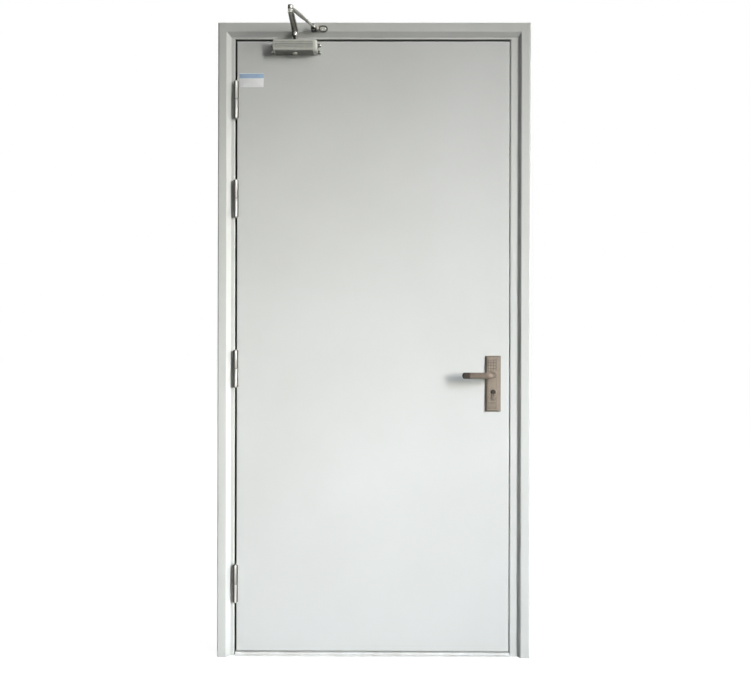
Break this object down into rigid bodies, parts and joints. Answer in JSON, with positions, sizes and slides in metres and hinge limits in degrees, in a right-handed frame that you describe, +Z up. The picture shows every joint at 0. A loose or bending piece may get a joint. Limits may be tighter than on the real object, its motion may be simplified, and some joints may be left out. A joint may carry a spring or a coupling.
{
  "type": "steel utility door",
  "caption": "Flush steel utility door in a mitred pressed-steel frame, hung on lift-off hinges, with a lever lock set on both faces and an overhead closer with folding arms.",
  "frame": {"origin": "on the underside of the threshold, at the middle of the frame's width and of its depth", "axes": "+X to the lock side, +Y into the wall away from the side that the leaf opens to, +Z up"},
  "size_m": [1.04, 0.3145, 2.11],
  "materials": {
    "frame_paint": "pale grey powder coat, low sheen",
    "sill_paint": "pale grey powder coat, scuffed by feet",
    "leaf_paint": "pale grey powder coat, low sheen",
    "seal_rubber": "matte extruded rubber",
    "hinge_steel": "satin stainless",
    "edge_steel": "satin",
    "lock_plate_metal": "satin bronzed nickel",
    "lever_metal": "satin bronzed nickel",
    "cylinder_metal": "nickel plated",
    "closer_paint": "silver grey enamel",
    "arm_steel": "dark grey enamel",
    "bright_steel": "zinc plated"
  },
  "bodies": {
    "frame": {"hinge_jamb": "frame_paint", "lock_jamb": "frame_paint", "frame_head": "frame_paint", "threshold": "sill_paint", "hinge_side_seal": "seal_rubber", "lock_side_seal": "seal_rubber", "head_seal": "seal_rubber", "strike_plate": "edge_steel", "closer_shoe": "arm_steel", "hinge_1_frame_half": "hinge_steel", "hinge_2_frame_half": "hinge_steel", "hinge_3_frame_half": "hinge_steel", "hinge_4_frame_half": "hinge_steel"},
    "leaf": {"leaf_front_skin": "leaf_paint", "leaf_back_skin": "leaf_paint", "leaf_top_channel": "leaf_paint", "leaf_bottom_channel": "leaf_paint", "lock_case": "edge_steel", "lock_faceplate": "edge_steel", "latch_bolt": "edge_steel", "dead_bolt": "edge_steel", "front_lock_plate": "lock_plate_metal", "back_lock_plate": "lock_plate_metal", "key_cylinder": "cylinder_metal", "closer_body": "closer_paint", "closer_left_cap": "closer_paint", "closer_right_cap": "closer_paint", "hinge_1_leaf_half": "hinge_steel", "hinge_2_leaf_half": "hinge_steel", "hinge_3_leaf_half": "hinge_steel", "hinge_4_leaf_half": "hinge_steel"},
    "levers": {"front_lever": "lever_metal", "back_lever": "lever_metal", "lever_spindle": "edge_steel"},
    "main_arm": {"closer_spindle": "bright_steel", "closer_main_arm": "arm_steel"},
    "forearm": {"forearm_sleeve": "arm_steel", "forearm_rod": "bright_steel"}
  },
  "joints": [
    {"name": "leaf_swing", "type": "hinge", "parent": "frame", "child": "leaf", "pos_m": [-0.459, -0.052, 1.034], "axis": [0, 0, -1], "range_deg": [0, 90], "stiffness_Nm_per_rad": 10, "springref_deg": -28.65},
    {"name": "lever_turn", "type": "hinge", "parent": "leaf", "child": "levers", "pos_m": [0.397, -0.047, 0.941], "axis": [0, -1, 0], "range_deg": [0, 45], "stiffness_Nm_per_rad": 1.5, "springref_deg": -28.65},
    {"name": "arm_turn", "type": "hinge", "parent": "leaf", "child": "main_arm", "pos_m": [-0.262, -0.068, 2.05], "axis": [0, 0, 1], "range_deg": [0, 192]},
    {"name": "forearm_turn", "type": "hinge", "parent": "frame", "child": "forearm", "pos_m": [-0.201, -0.08, 2.0865], "axis": [0, 0, -1], "range_deg": [0, 21]}
  ],
  "couplings": [
    {"joint": "arm_turn", "follows": "leaf_swing", "ratio": 2.1283},
    {"joint": "forearm_turn", "follows": "leaf_swing", "ratio": 0.22445}
  ]
}
